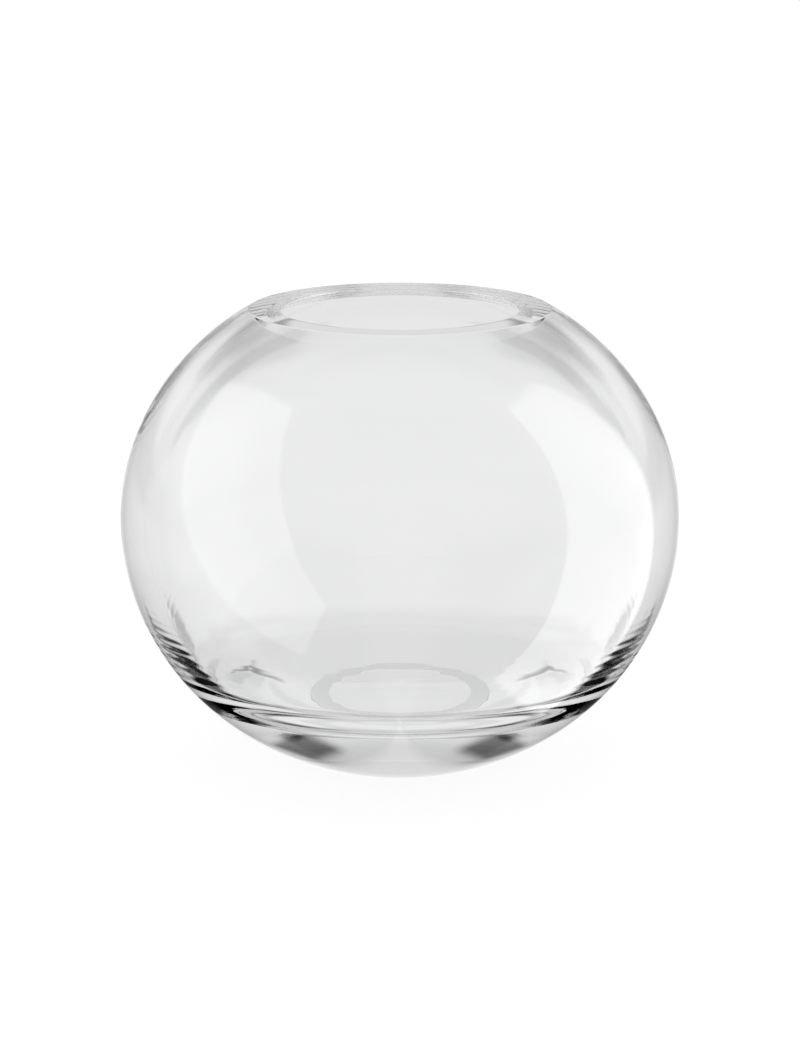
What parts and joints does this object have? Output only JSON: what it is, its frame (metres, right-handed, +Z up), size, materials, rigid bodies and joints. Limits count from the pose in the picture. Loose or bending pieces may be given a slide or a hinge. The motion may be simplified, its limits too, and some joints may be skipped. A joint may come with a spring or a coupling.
{
  "type": "rose bowl vase",
  "caption": "Squat ball-shaped flower vase of thick clear glass, with a narrow flat-cut mouth, a heavy solid base and a ground ring foot to stand on",
  "frame": {"origin": "middle of the ground ring foot, on the surface that the vase stands on", "axes": "+Z up along the vase's axis of turning; the vase is the same all round, so X and Y are free"},
  "size_m": [0.152, 0.152, 0.124],
  "materials": {
    "clear_glass": "fire-polished clear blown glass, colourless"
  },
  "bodies": {
    "root": {"glass_bowl": "clear_glass"}
  },
  "joints": []
}
